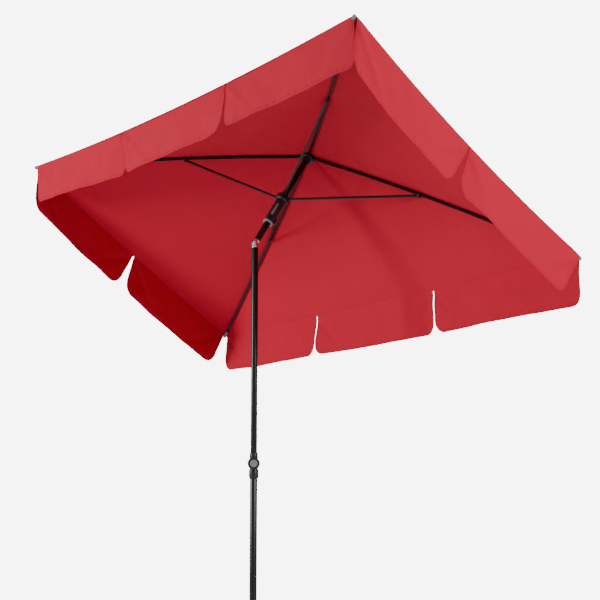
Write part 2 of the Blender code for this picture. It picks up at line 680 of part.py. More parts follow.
def channel(name, path, width, height, wall, parent, flip=False):
    """A folded steel channel along (x, z) points, open below, or above when flipped."""
    bm = bmesh.new()
    side = -1 if flip else 1
    profile = [(-width / 2, -height / 2), (-width / 2, height / 2),
               (width / 2, height / 2), (width / 2, -height / 2)]
    verts = [bm.verts.new((path[0][0], y, path[0][1] + side * z)) for y, z in profile]
    edges = [bm.edges.new(pair) for pair in zip(verts, verts[1:])]
    for start, end in zip(path, path[1:]):
        grown = bmesh.ops.extrude_edge_only(bm, edges=edges)["geom"]
        moved = [item for item in grown if isinstance(item, bmesh.types.BMVert)]
        edges = [item for item in grown if isinstance(item, bmesh.types.BMEdge)]
        bmesh.ops.translate(bm, verts=moved, vec=(end[0] - start[0], 0, end[1] - start[1]))
    bm.normal_update()
    web = max(bm.faces, key=lambda face: abs(face.normal.z))
    if web.normal.z * side < 0:
        bmesh.ops.reverse_faces(bm, faces=bm.faces)
    mesh = bpy.data.meshes.new(name)
    bm.to_mesh(mesh)
    bm.free()
    obj = add(name, mesh, BLACK_PAINT, parent, Matrix())
    solid = obj.modifiers.new("wall", "SOLIDIFY")
    solid.thickness = wall
    solid.offset = -1
    solid.use_even_offset = True
    return obj


def rib(number, pivot):
    rib_end = RIB_REACH - TIP_CAP_END
    start = RING_RIM + 8 * MM
    xs = [start + (rib_end - start) * step / RIB_STATIONS for step in range(RIB_STATIONS + 1)]
    path = [(x, rib_height(x)) for x in xs]
    body = channel(f"rib_{number}", path, RIB_WIDTH, RIB_HEIGHT, RIB_WALL, pivot)
    eye = RING_WIRE_RADIUS + FIT
    nose = RING_RIM
    tongue = plate(f"rib_tongue_{number}", [
        arc((0, 0), nose, 90, 270, 8) + [(start + 14 * MM, -nose), (start + 14 * MM, nose)],
        arc((0, 0), eye, 0, 330, 11),
    ], TONGUE_THICKNESS, None, pivot, Matrix.Rotation(rib_slope(0), 4, "Y") @ UPRIGHT_XZ)
    combine(body, tongue, "UNION")

    seat = on_rib(BRACKET_X)
    inner = RIB_WIDTH / 2 + FIT
    outer = inner + BRACKET_WALL
    roof = RIB_HEIGHT / 2 + FIT
    foot = -STRUT_PIVOT_BELOW_RIB - 3.5 * MM
    bracket = plate(f"rib_bracket_{number}", [[
        (-outer, foot), (-inner, foot), (-inner, roof), (inner, roof), (inner, foot), (outer, foot),
        (outer, roof + 1.2 * MM), (-outer, roof + 1.2 * MM)]],
        BRACKET_LENGTH, BLACK_PLASTIC, pivot, seat @ UPRIGHT_YZ)
    pin = seat @ Matrix.Translation((0, 0, -STRUT_PIVOT_BELOW_RIB)) @ UPRIGHT_XZ
    way = rod(f"rivet_way_{number}", RIVET_RADIUS + FIT, -0.02, 0.02, None, pivot, pin)
    combine(bracket, way, "DIFFERENCE")
    head = outer + FIT
    turned(f"rib_rivet_{number}", [
        (0, head + 1.4 * MM),
        (2 * RIVET_RADIUS - MM, head + 1.4 * MM),
        (2 * RIVET_RADIUS, head),
        (RIVET_RADIUS, head),
        (RIVET_RADIUS, -head),
        (2 * RIVET_RADIUS, -head),
        (2 * RIVET_RADIUS - MM, -head - 1.4 * MM),
        (0, -head - 1.4 * MM),
    ], STEEL, pivot, pin, steps=12)

    tip = on_rib(rib_end)
    cap = block(f"rib_tip_{number}", (-TIP_CAP_LENGTH + TIP_CAP_END, -CAP_HALF_WIDTH, -CAP_HALF_HEIGHT),
                (TIP_CAP_END, CAP_HALF_WIDTH, CAP_HALF_HEIGHT), GREY_PLASTIC, pivot, tip)
    bevel = cap.modifiers.new("round", "BEVEL")
    bevel.width = 1.5 * MM
    bevel.segments = 2
    pocket = block(f"tip_pocket_{number}",
                   (-TIP_CAP_LENGTH, -RIB_WIDTH / 2 - FIT, -RIB_HEIGHT / 2 - 2 * FIT),
                   (1.5 * MM, RIB_WIDTH / 2 + FIT, RIB_HEIGHT / 2 + 2 * FIT), None, pivot, tip)
    combine(cap, pocket, "DIFFERENCE")


# One strut: a channel from the rib's bracket in to the runner's wire, where its end is notched.

STRUT_LENGTH = math.hypot(
    STRUT_PIVOT.x + CROWN_PIVOT_RADIUS - RUNNER_PIVOT_RADIUS,
    CROWN_ABOVE_HINGE + STRUT_PIVOT.z - RUNNER_RING_ABOVE_HINGE,
)
STRUT_FALL = math.asin((CROWN_ABOVE_HINGE + STRUT_PIVOT.z - RUNNER_RING_ABOVE_HINGE) / STRUT_LENGTH)


def strut(number, pivot):
    """Its frame has X along the strut, from the rib in to the runner."""
    end = STRUT_LENGTH - RING_RIM - 8 * MM
    body = channel(f"strut_{number}", [(-2 * MM, 0), (end, 0)], STRUT_WIDTH, STRUT_HEIGHT, RIB_WALL,
                   pivot, flip=True)
    hole = rod(f"strut_hole_{number}", RIVET_RADIUS + FIT, -0.02, 0.02, None, pivot, UPRIGHT_XZ)
    combine(body, hole, "DIFFERENCE")
    half = STRUT_HEIGHT / 2
    notch = RING_WIRE_RADIUS + FIT
    tongue = plate(f"strut_tongue_{number}", [
        [(end - 14 * MM, -half), (STRUT_LENGTH + STRUT_END, -half), (STRUT_LENGTH + STRUT_END, half),
         (STRUT_LENGTH + notch, half)]
        + arc((STRUT_LENGTH, 0), notch, 0, -180, 8)
        + [(STRUT_LENGTH - notch - 1.5 * MM, half), (end - 14 * MM, half)]
    ], TONGUE_THICKNESS, None, pivot, UPRIGHT_XZ)
    combine(body, tongue, "UNION")


# One quarter of the canopy, lying on its rib, and the two flap pieces that hang at its corner. The cloth
# clears the tip cap's upper edges, and each flap starts where the cap's flank is out of its way.

TIP_SLOPE = rib_slope(RIB_REACH)
DIAGONAL = math.atan2(HALF_WIDTH, HALF_LENGTH)
CAP_RISE = CAP_HALF_HEIGHT / math.cos(TIP_SLOPE)
CLOTH_OVER_RIB = (CAP_RISE + CAP_HALF_WIDTH * math.tan(TIP_SLOPE) / math.tan(DIAGONAL)
                  + TIP_CAP_TO_CLOTH)


def corner_gap():
    """Distance from the corner to the flaps: the long ones lean in under the canopy by the tilt."""
    lean = math.tan(TILT)
    reach = (lean * (CLOTH_OVER_RIB + CAP_RISE) + CAP_HALF_WIDTH * math.cos(DIAGONAL)
             ) / (math.sin(DIAGONAL) + lean * math.tan(TIP_SLOPE))
    return reach * math.cos(DIAGONAL) + CAP_HALF_WIDTH * math.sin(DIAGONAL) + FIT


def canopy_panel(number, along, across, tilt):
    bm = bmesh.new()
    bmesh.ops.create_grid(bm, x_segments=5, y_segments=5, size=0.5)
    bmesh.ops.translate(bm, verts=bm.verts, vec=(0.5, 0.5, 0))
    bmesh.ops.bisect_plane(bm, geom=bm.faces[:] + bm.edges[:] + bm.verts[:], plane_co=(0, 0, 0),
                           plane_no=(1, -1, 0))
    bmesh.ops.bisect_plane(bm, geom=bm.faces[:] + bm.edges[:] + bm.verts[:],
                           plane_co=(CROWN_HOLE_SHARE, 0, 0), plane_no=(1, 1, 0), clear_inner=True)
    bmesh.ops.triangulate(bm, faces=[face for face in bm.faces if len(face.verts) > 4])
    seam = FIT / 2
    for vert in bm.verts:
        share = max(vert.co.x, vert.co.y)
        reach = max(share * RIB_PLAN_LENGTH - CROWN_PIVOT_RADIUS, 0)
        height = CROWN_ABOVE_HINGE + CLOTH_OVER_RIB + rib_height(reach)
        x = seam + vert.co.x * (HALF_LENGTH - seam)
        y = seam + vert.co.y * (HALF_WIDTH - seam)
        vert.co = (along * x, across * y, height)
    bm.normal_update()
    if next(iter(bm.faces)).normal.z < 0:
        bmesh.ops.reverse_faces(bm, faces=bm.faces)
    mesh = bpy.data.meshes.new(f"canopy_panel_{number}")
    bm.to_mesh(mesh)
    bm.free()
    obj = add(mesh.name, mesh, CLOTH, tilt, Matrix())
    solid = obj.modifiers.new("cloth", "SOLIDIFY")
    solid.thickness = CLOTH_THICKNESS
    solid.offset = 1


def flap_outline(start, end, slits, closed_end):
    """Flaps hanging from a straight edge between two distances from the corner, lower corners rounded."""
    top = -2.5 * MM
    low = -VALANCE_HEIGHT
    r = VALANCE_CORNER_RADIUS
    outline = [(end, top), (start, top)] + arc((start + r, low + r), r, 180, 270)
    for slit in slits:
        left, right = slit - VALANCE_SLIT / 2, slit + VALANCE_SLIT / 2
        outline += arc((left - r, low + r), r, 270, 360)
        outline += [(left, top - VALANCE_BAND), (right, top - VALANCE_BAND)]
        outline += arc((right + r, low + r), r, 180, 270)
    if closed_end:
        outline += arc((end - r, low + r), r, 270, 360)
    else:
        outline += [(end, low)]
    return outline


def valance(number, along, across, corner_frame, level_frame):
    inner = FIT / 2
    gap = corner_gap()
    flap = CANOPY_LENGTH / LONG_SIDE_FLAPS
    slits = [flap * count for count in range(1, LONG_SIDE_FLAPS) if flap * count < HALF_LENGTH - 0.01]
    long_side = [(-along * s, z) for s, z in
                 flap_outline(gap, HALF_LENGTH - inner, slits, closed_end=False)]
    plate(f"valance_long_{number}", [long_side], CLOTH_THICKNESS, CLOTH, level_frame, UPRIGHT_XZ)
    short_side = [(-across * s, z) for s, z in
                  flap_outline(gap, HALF_WIDTH - VALANCE_SLIT / 2, [], closed_end=True)]
    plate(f"valance_short_{number}", [short_side], CLOTH_THICKNESS, CLOTH, corner_frame, UPRIGHT_YZ)


def umbrella():
    azimuths = [math.atan2(across * HALF_WIDTH, along * HALF_LENGTH) for along, across in CORNERS]
    base()
    lower_pole()
    height_clamp()
    hinge = frame("pole_axis", (0, 0, HINGE_HEIGHT))
    upper_pole(hinge)
    tilt = frame("tilt_axis", (0, 0, 0), (-TILT, 0, 0), hinge)
    shaft(tilt, azimuths)
    runner(tilt, azimuths)
    edge_height = CROWN_ABOVE_HINGE + CLOTH_OVER_RIB - CANOPY_DROP
    for number, ((along, across), azimuth) in enumerate(zip(CORNERS, azimuths), 1):
        out = Vector((math.cos(azimuth), math.sin(azimuth), 0)) * CROWN_PIVOT_RADIUS
        pivot = frame(f"rib_axis_{number}", out + Vector((0, 0, CROWN_ABOVE_HINGE)), (0, 0, azimuth), tilt)
        rib(number, pivot)
        strut_pivot = frame(f"strut_axis_{number}", STRUT_PIVOT, (0, STRUT_FALL, math.pi), pivot)
        strut(number, strut_pivot)
        canopy_panel(number, along, across, tilt)
        corner = Vector((along * HALF_LENGTH, across * HALF_WIDTH, edge_height))
        corner_frame = frame(f"corner_axis_{number}", corner, (0, 0, 0), tilt)
        level_frame = frame(f"level_axis_{number}", (0, 0, 0), (TILT, 0, 0), corner_frame)
        valance(number, along, across, corner_frame, level_frame)


umbrella()
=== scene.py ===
"""A rectangular patio umbrella with a red polyester canopy, four folding ribs and a disc base."""

import json
import math

import bmesh
import bpy
from mathutils import Matrix, Vector, noise


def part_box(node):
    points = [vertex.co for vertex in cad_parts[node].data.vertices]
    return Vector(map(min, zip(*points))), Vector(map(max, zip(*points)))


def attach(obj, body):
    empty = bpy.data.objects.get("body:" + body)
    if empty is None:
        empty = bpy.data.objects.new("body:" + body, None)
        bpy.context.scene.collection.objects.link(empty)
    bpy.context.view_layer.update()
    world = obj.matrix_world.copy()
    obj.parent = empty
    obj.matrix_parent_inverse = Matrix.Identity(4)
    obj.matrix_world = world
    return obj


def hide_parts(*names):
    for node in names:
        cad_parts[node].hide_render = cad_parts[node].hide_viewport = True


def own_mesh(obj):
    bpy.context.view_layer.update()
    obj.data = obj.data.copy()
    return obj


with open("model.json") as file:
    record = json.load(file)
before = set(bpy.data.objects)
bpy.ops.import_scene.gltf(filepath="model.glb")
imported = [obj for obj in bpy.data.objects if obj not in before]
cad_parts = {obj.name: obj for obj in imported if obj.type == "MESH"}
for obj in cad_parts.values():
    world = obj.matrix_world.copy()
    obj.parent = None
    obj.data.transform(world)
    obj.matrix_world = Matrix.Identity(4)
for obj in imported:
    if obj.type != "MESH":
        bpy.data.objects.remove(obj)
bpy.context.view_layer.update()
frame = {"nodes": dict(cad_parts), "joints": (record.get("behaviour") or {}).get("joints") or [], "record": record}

MM = 0.001
CORNERS = (1, 2, 3, 4)
joints = {joint["name"]: joint for joint in frame["joints"]}


def joint_place(name):
    return Vector(joints[name]["pos_m"])


# The shaft's own axes at rest: along the long side, across it, and up the shaft from the tilt pin.
HINGE = joint_place("tilt")
SHAFT = Vector(joints["runner_slide"]["axis"]).normalized()
ALONG = Vector((1, 0, 0))
ACROSS = SHAFT.cross(ALONG)
LEANING = Matrix((ALONG, ACROSS, SHAFT)).transposed().to_4x4()
LEANING.translation = HINGE


def from_shaft(x, y, height):
    """A point given on the shaft's own axes, in the frame that everything shares."""
    return HINGE + ALONG * x + ACROSS * y + SHAFT * height


def on_shaft(point):
    """The same, the other way round."""
    offset = point - HINGE
    return Vector((offset.dot(ALONG), offset.dot(ACROSS), offset.dot(SHAFT)))


# The camera stands below the canopy, in front of its raised corner, and looks slightly up. Its place is
# given from the tilt pin.

CAMERA_FROM_HINGE = Vector((4.553, -3.132, -1.206))
CAMERA_HEADING = Vector((-0.8056, 0.5925, 0)).normalized()
CAMERA_PITCH = math.radians(10.1)
CAMERA_LENS = 87.5

camera = bpy.data.objects.new("camera", bpy.data.cameras.new("camera"))
camera.data.lens = CAMERA_LENS
camera.data.sensor_width = 36
camera.location = HINGE + CAMERA_FROM_HINGE
look = CAMERA_HEADING * math.cos(CAMERA_PITCH) + Vector((0, 0, math.sin(CAMERA_PITCH)))
camera.rotation_euler = look.to_track_quat("-Z", "Y").to_euler()
bpy.context.scene.collection.objects.link(camera)
bpy.context.scene.camera = camera


# Shader maths and the finishes. A wrapped socket takes + and * as Math nodes.

class Wire:
    """One output of a node inside a finish."""

    def __init__(self, finish, socket):
        self.finish = finish
        self.socket = socket

    def _math(self, operation, *terms):
        return self.finish.node("Math", {"operation": operation}, dict(enumerate(terms)))

    def __add__(self, other):
        return self._math("ADD", self, other)

    __radd__ = __add__

    def __mul__(self, other):
        return self._math("MULTIPLY", self, other)

    __rmul__ = __mul__


class Finish:
    """A Principled material that is built by expressions."""

    def __init__(self, name):
        self.material = bpy.data.materials.new(name)
        self.material.use_nodes = True
        self.tree = self.material.node_tree
        self.shader = self.tree.nodes["Principled BSDF"]

    def node(self, kind, settings=None, inputs=None, output=0):
        made = self.tree.nodes.new("ShaderNode" + kind)
        for key, value in (settings or {}).items():
            if key == "stops":
                ramp = made.color_ramp
                for index, (place, colour) in enumerate(value):
                    stop = ramp.elements[index] if index < 2 else ramp.elements.new(place)
                    stop.position = place
                    stop.color = (*colour, 1)
            else:
                setattr(made, key, value)
        for key, value in (inputs or {}).items():
            self.feed(made.inputs[key], value)
        return Wire(self, made.outputs[output])

    def feed(self, socket, value):
        if isinstance(value, Wire):
            self.tree.links.new(value.socket, socket)
        else:
            socket.default_value = value

    def set(self, **values):
        for name, value in values.items():
            self.feed(self.shader.inputs[name.replace("_", " ")], value)
        return self

    def place(self):
        return self.node("TexCoord", output="Object")

    def cloud(self, where, scale, detail=2.0, roughness=0.5):
        return self.node("TexNoise", None, {
            "Vector": where, "Scale": scale, "Detail": detail, "Roughness": roughness})

    def tone(self, factor, low, high):
        """A colour between two, by a factor."""
        ramp = {"stops": [(0.0, low), (1.0, high)]}
        return self.node("ValToRGB", ramp, {"Fac": factor})

    def relief(self, height, strength, distance):
        return self.node("Bump", None, {"Height": height, "Strength": strength, "Distance": distance})


def polyester(name, base, deep, sheen):
    """Plain-woven cloth: threads each way, slight slubs and a soft change of shade."""
    finish = Finish(name)
    uv = finish.node("UVMap", {"uv_map": "thread"})
    warp = finish.node("TexWave", {"bands_direction": "X"}, {"Vector": uv, "Scale": 260.0, "Distortion": 0.6})
    weft = finish.node("TexWave", {"bands_direction": "Y"}, {"Vector": uv, "Scale": 260.0, "Distortion": 0.6})
    slub = finish.cloud(uv, 55.0, 3.0, 0.6)
    shade = finish.cloud(uv, 3.5, 2.0)
    threads = warp * 0.5 + weft * 0.5
    factor = 0.62 * shade + 0.22 * slub + 0.16 * threads
    finish.set(
        Base_Color=finish.tone(factor, deep, base),
        Roughness=0.66 + 0.2 * threads,
        Normal=finish.relief(threads + 0.5 * slub, 0.35, 0.0006),
        Sheen_Weight=sheen,
        Sheen_Roughness=0.4,
        Specular_IOR_Level=0.25,
    )
    return finish.material


def powder_coat(name, colour, light, rough):
    """Sprayed and baked paint: a fine orange-peel skin, slightly patchy gloss."""
    finish = Finish(name)
    where = finish.place()
    peel = finish.cloud(where, 900.0, 2.0)
    patch = finish.cloud(where, 24.0, 3.0)
    finish.set(
        Base_Color=finish.tone(patch, colour, light),
        Roughness=rough - 0.05 + 0.12 * patch,
        Normal=finish.relief(peel, 0.05, 0.0003),
        Specular_IOR_Level=0.4,
    )
    return finish.material


def moulded(name, colour, light, rough):
    """Injection-moulded plastic: a fine spark-eroded grain and faint flow marks."""
    finish = Finish(name)
    where = finish.place()
    grain = finish.cloud(where, 1600.0, 2.0, 0.7)
    flow = finish.cloud(where, 40.0, 4.0)
    finish.set(
        Base_Color=finish.tone(flow, colour, light),
        Roughness=rough - 0.06 + 0.14 * flow,
        Normal=finish.relief(grain, 0.3, 0.0002),
    )
    return finish.material


def bare_metal(name, colour, light, rough, stretch):
    """Plated or drawn metal, with fine lines along the piece's height."""
    finish = Finish(name)
    where = finish.place()
    stretched = finish.node("Mapping", None, {"Vector": where, "Scale": (1, 1, stretch)})
    lines = finish.cloud(stretched, 700.0, 3.0, 0.6)
    stain = finish.cloud(where, 60.0, 3.0)
    finish.set(
        Base_Color=finish.tone(stain, colour, light),
        Metallic=1.0,
        Roughness=rough + 0.1 * lines,
        Normal=finish.relief(lines, 0.08, 0.0002),
    )
    return finish.material


CLOTH = polyester("red_polyester", (0.56, 0.003, 0.030), (0.45, 0.002, 0.022), 0.02)
THREAD = moulded("red_thread", (0.30, 0.004, 0.018), (0.40, 0.006, 0.026), 0.6)
PAINT = powder_coat("black_powder_coat", (0.004, 0.0045, 0.0045), (0.008, 0.0085, 0.0085), 0.28)
BLACK = moulded("black_moulding", (0.006, 0.006, 0.0065), (0.011, 0.011, 0.012), 0.42)
GREY = moulded("grey_moulding", (0.17, 0.165, 0.16), (0.23, 0.22, 0.215), 0.5)
CHROME = bare_metal("chrome_plate", (0.72, 0.73, 0.75), (0.8, 0.81, 0.83), 0.07, 1.0)
ZINC = bare_metal("zinc_plate", (0.38, 0.38, 0.39), (0.5, 0.5, 0.5), 0.3, 0.08)
RUBBER = moulded("rubber", (0.014, 0.014, 0.014), (0.025, 0.025, 0.024), 0.8)
FINISHES = {
    "red_polyester": CLOTH,
    "black_paint": PAINT,
    "black_plastic": BLACK,
    "grey_plastic": GREY,
    "chrome": CHROME,
    "zinc_steel": ZINC,
    "rubber": RUBBER,
}


def plain_mesh(obj):
    """Applies the object's modifiers and leaves a plain mesh at the origin."""
    bpy.context.view_layer.update()
    depsgraph = bpy.context.evaluated_depsgraph_get()
    mesh = bpy.data.meshes.new_from_object(obj.evaluated_get(depsgraph))
    mesh.transform(obj.matrix_world)
    obj.modifiers.clear()
    obj.data = mesh
    obj.matrix_world = Matrix()
    return obj


def finished(obj, material, slot, body, *nodes):
    """Gives a piece its finish, hangs it on the body that carries it and hides the nodes that it stands for."""
    obj.data.materials.clear()
    obj.data.materials.append(material)
    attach(obj, body)
    if nodes:
        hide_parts(*nodes)
    return obj


def new_piece(name, mesh):
    obj = bpy.data.objects.new(name, mesh)
    bpy.context.scene.collection.objects.link(obj)
    return obj


# Pressed, cast and moulded parts keep the frame's shapes: each is merged, its edges are rounded and its
# round faces are shaded smooth.

body_of_node = {node: body for body, nodes in frame["record"]["behaviour"]["bodies"].items()
                for node in nodes}
slot_of_node = {row["node"]: row["material_slot"] for row in frame["record"]["subparts"]}


def eased(node, edge=0.5 * MM, material=None):
    source = frame["nodes"][node].data
    bm = bmesh.new()
    bm.from_mesh(source)
    bmesh.ops.remove_doubles(bm, verts=bm.verts, dist=0.00001)
    bmesh.ops.dissolve_limit(bm, angle_limit=math.radians(1), verts=bm.verts, edges=bm.edges)
    mesh = bpy.data.meshes.new(node)
    bm.to_mesh(mesh)
    bm.free()
    obj = new_piece(f"{node}_eased", mesh)
    bevel = obj.modifiers.new("eased edges", "BEVEL")
    bevel.width = edge
    bevel.segments = 2
    bevel.limit_method = "ANGLE"
    bevel.angle_limit = math.radians(35)
    bevel.use_clamp_overlap = True
    plain_mesh(obj)
    obj.data.shade_smooth()
    obj.data.set_sharp_from_angle(angle=math.radians(32))
    slot = slot_of_node[node]
    return finished(obj, material or FINISHES[slot], slot, body_of_node[node], node)


HARD_NODES = {
    "base_knob": 1.2 * MM,
    "base_screw": 0.4 * MM,
    "base_socket": 0.5 * MM,
    "base_sleeve": 0.5 * MM,
    "lower_pole_foot": 0.4 * MM,
    "clamp_housing": 0.6 * MM,
    "clamp_pad": 0.4 * MM,
    "clamp_screw": 0.3 * MM,
    "slide_bush": 0.3 * MM,
    "upper_pole_end": 0.3 * MM,
    "knuckle_fork": 0.5 * MM,
    "knuckle_pin": 0.5 * MM,
    "knuckle_tongue": 0.4 * MM,
    "crown_hub": 0.4 * MM,
    "crown_wire": 0.1 * MM,
    "runner_sleeve": 0.4 * MM,
    "runner_wire": 0.1 * MM,
    "runner_strip": 0.5 * MM,
    "runner_button": 0.5 * MM,
}
for node, edge in HARD_NODES.items():
    eased(node, edge)
for number in CORNERS:
    for kind, edge in (("rib", 0.2), ("strut", 0.2), ("rib_bracket", 0.4), ("rib_rivet", 0.3),
                       ("rib_tip", 0.5)):
        eased(f"{kind}_{number}", edge * MM)


# Tubes and base: three drawn steel tubes with deburred ends, a pressed steel disc and a rubber
# underlay cut from sheet. The metal is powder-coated black. All are revolved anew, with rounded edges.

def turned(name, outline, place, steps, material, body, node):
    """Radius and height points, top to bottom on the outer side, revolved about the place's Z axis."""
    bm = bmesh.new()
    verts = [bm.verts.new((radius, 0, height)) for radius, height in outline]
    edges = [bm.edges.new(pair) for pair in zip(verts, verts[1:])]
    closed = outline[0][0] > 0
    if closed:
        edges.append(bm.edges.new((verts[-1], verts[0])))
    bmesh.ops.spin(bm, geom=verts + edges, cent=(0, 0, 0), axis=(0, 0, 1), angle=2 * math.pi,
                   steps=steps, use_merge=True)
    bmesh.ops.remove_doubles(bm, verts=bm.verts, dist=0.000005)
    bmesh.ops.recalc_face_normals(bm, faces=bm.faces)
    bmesh.ops.transform(bm, matrix=place, verts=bm.verts)
    mesh = bpy.data.meshes.new(name)
    bm.to_mesh(mesh)
    bm.free()
    mesh.shade_smooth()
    mesh.set_sharp_from_angle(angle=math.radians(35))
    obj = new_piece(name, mesh)
    return finished(obj, material, slot_of_node[node], body, node)


def quarter_round(radius, height, size, upper, steps=4):
    """An edge's rounding between a flat face and a side of that radius, going down the outer side."""
    points = []
    for step in range(steps + 1):
        turn = math.pi / 2 * step / steps
        if upper:
            points.append((radius - size + size * math.sin(turn), height - size + size * math.cos(turn)))
        else:
            points.append((radius - size + size * math.cos(turn), height + size - size * math.sin(turn)))
    return points


TUBE_WALL = 1.2 * MM
TUBE_EDGE = 0.3 * MM


def tube(node, low, high, radius, place, body):
    outline = (quarter_round(radius, high, TUBE_EDGE, True, 2)
               + quarter_round(radius, low, TUBE_EDGE, False, 2)
               + [(radius - TUBE_WALL, low), (radius - TUBE_WALL, high)])
    return turned(f"{node}_drawn", outline, place, 64, PAINT, body, node)


def node_size(node):
    low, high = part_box(node)
    return low, high, high - low


def around_shaft(node):
    """A node's smallest and largest distance from the shaft's axis, and where it starts and ends on it."""
    points = [on_shaft(vert.co) for vert in frame["nodes"][node].data.vertices]
    radii = [math.hypot(p.x, p.y) for p in points]
    heights = [p.z for p in points]
    return min(radii), max(radii), min(heights), max(heights)


low, high, size = node_size("lower_pole")
tube("lower_pole", low.z, high.z, size.x / 2, Matrix(), "base")
low, high, size = node_size("upper_pole")
tube("upper_pole", low.z, high.z, size.x / 2, Matrix(), "upper_pole")
shaft_low, shaft_high = around_shaft("shaft_tube")[2:]
tube("shaft_tube", shaft_low, shaft_high, size.x / 2, LEANING, "shaft")

PLATE_ROUND = 4 * MM
low, high, size = node_size("base_plate")
turned("base_plate_pressed",
       [(0, high.z)] + quarter_round(size.x / 2, high.z, PLATE_ROUND, True)
       + quarter_round(size.x / 2, low.z, 1.5 * MM, False) + [(0, low.z)],
       Matrix(), 128, PAINT, "base", "base_plate")
low, high, size = node_size("base_underlay")
turned("base_underlay_cut",
       [(0, high.z)] + quarter_round(size.x / 2, high.z, 0.6 * MM, True, 2)
       + quarter_round(size.x / 2, low.z, 0.6 * MM, False, 2) + [(0, low.z)],
       Matrix(), 96, RUBBER, "base", "base_underlay")


# Clamp knob and face: a black moulding with finger flutes round its rim, screwed on the clamp's screw,
# and a grey disc that is pressed in its front.

def clamp_axis():
    place = Matrix.Translation(joint_place("clamp_turn"))
    out = Vector(joints["clamp_turn"]["axis"])
    return place @ out.to_track_quat("Z", "Y").to_matrix().to_4x4()


def along_axis(node, place):
    inverse = place.inverted()
    points = [inverse @ vert.co for vert in frame["nodes"][node].data.vertices]
    return (max(math.hypot(p.x, p.y) for p in points), min(p.z for p in points),
            max(p.z for p in points))


KNOB_ROUND = 3 * MM
KNOB_FIT = 0.3 * MM
CLAMP_AXIS = clamp_axis()
knob_radius, knob_back, knob_front = along_axis("clamp_knob", CLAMP_AXIS)
face_radius, face_back, face_front = along_axis("clamp_knob_face", CLAMP_AXIS)
screw_radius = along_axis("clamp_screw", CLAMP_AXIS)[0]
knob = turned("clamp_knob_moulded",
              [(face_radius + KNOB_FIT, face_back), (face_radius + KNOB_FIT, knob_front - 0.5 * MM),
               (face_radius + 1.0 * MM, knob_front)]
              + quarter_round(knob_radius, knob_front, KNOB_ROUND, True, 6)
              + quarter_round(knob_radius, knob_back + 2.5 * MM, KNOB_ROUND, False, 6)
              + [(knob_radius - 6 * MM, knob_back), (screw_radius + KNOB_FIT, knob_back),
                 (screw_radius + KNOB_FIT, face_back)],
              CLAMP_AXIS, 96, BLACK, "clamp_knob", "clamp_knob")
FLUTES = 24
FLUTE_DEPTH = 0.7 * MM
FLUTED_RIM = 2.6 * MM
inverse = CLAMP_AXIS.inverted()
for vert in knob.data.vertices:
    local = inverse @ vert.co
    radius = math.hypot(local.x, local.y)
    if radius > knob_radius - FLUTED_RIM:
        angle = math.atan2(local.y, local.x)
        dent = FLUTE_DEPTH * max(0.0, math.cos(FLUTES * angle)) ** 2
        local.x -= dent * math.cos(angle)
        local.y -= dent * math.sin(angle)
        vert.co = CLAMP_AXIS @ local
turned("clamp_knob_disc",
       [(0, face_front)] + quarter_round(face_radius, face_front, 1.2 * MM, True)
       + [(face_radius, face_back + KNOB_FIT), (0, face_back + KNOB_FIT)],
       CLAMP_AXIS, 64, GREY, "clamp_knob", "clamp_knob_face")


# Runner lip: a moulded grey band that is pressed on the sleeve's lower end. Both its rims are well
# rounded, because a hand pushes there.

LIP_ROUND = 2 * MM
lip_bore, lip_radius, lip_low, lip_high = around_shaft("runner_lip")
turned("runner_lip_moulded",
       quarter_round(lip_radius, lip_high, LIP_ROUND, True)
       + quarter_round(lip_radius, lip_low, LIP_ROUND, False)
       + [(lip_bore, lip_low), (lip_bore, lip_high)],
       LEANING, 64, GREY, "runner", "runner_lip")


# Finial: a turned plastic button with a neck and a flange. Its stud screws in the shaft's top, and the
# flange presses the cloth on the hub.

FINIAL_HEIGHT = 40 * MM
BALL_RADIUS = 15 * MM
_, flange, finial_low, finial_high = around_shaft("finial")
seat = finial_high - FINIAL_HEIGHT
ball_middle = seat + FINIAL_HEIGHT - BALL_RADIUS
ball = [(BALL_RADIUS * math.cos(math.radians(a)), ball_middle + BALL_RADIUS * math.sin(math.radians(a)))
        for a in range(80, -46, -9)]
turned("finial_turned",
       [(0, finial_high)] + ball
       + [(9.5 * MM, seat + 12 * MM), (9 * MM, seat + 8 * MM), (12 * MM, seat + 5.5 * MM),
          (flange - 2 * MM, seat + 4 * MM)]
       + quarter_round(flange, seat, 1.5 * MM, False)
       + [(4 * MM, seat), (4 * MM, finial_low), (0, finial_low)],
       LEANING, 64, BLACK, "shaft", "finial")


# The canopy: one cover of polyester cut in panels and sewn together over the ribs, stretched from the
# crown to four corner pockets. Its panels are carried by their rib.

CLOTH_THICKNESS = 0.6 * MM
corner_points = {number: on_shaft(joint_place(f"flap_hang_{number}")) for number in CORNERS}
HALF_LENGTH = abs(corner_points[1].x)
HALF_WIDTH = abs(corner_points[1].y)
EDGE_HEIGHT = corner_points[1].z
PIVOT = on_shaft(joint_place("rib_fold_1"))
PIVOT_RADIUS = math.hypot(PIVOT.x, PIVOT.y)
RIB_PLAN = math.hypot(HALF_LENGTH, HALF_WIDTH)
RIB_REACH = RIB_PLAN - PIVOT_RADIUS
strut_joint = on_shaft(joint_place("strut_fold_1"))
STRUT_REACH = math.hypot(strut_joint.x, strut_joint.y) - PIVOT_RADIUS
STRUT_BELOW_RIB = 8.8 * MM
RIB_DROP_AT_STRUT = PIVOT.z - strut_joint.z - STRUT_BELOW_RIB
CLOTH_OVER_RIB = 10 * MM
DROP = PIVOT.z + CLOTH_OVER_RIB - EDGE_HEIGHT
BEND = (DROP / RIB_REACH - RIB_DROP_AT_STRUT / STRUT_REACH) / (RIB_REACH - STRUT_REACH)
SLOPE = RIB_DROP_AT_STRUT / STRUT_REACH - BEND * STRUT_REACH
LONG_SIDE_DIP = 28 * MM  # how far the middle of a side hangs below its corners
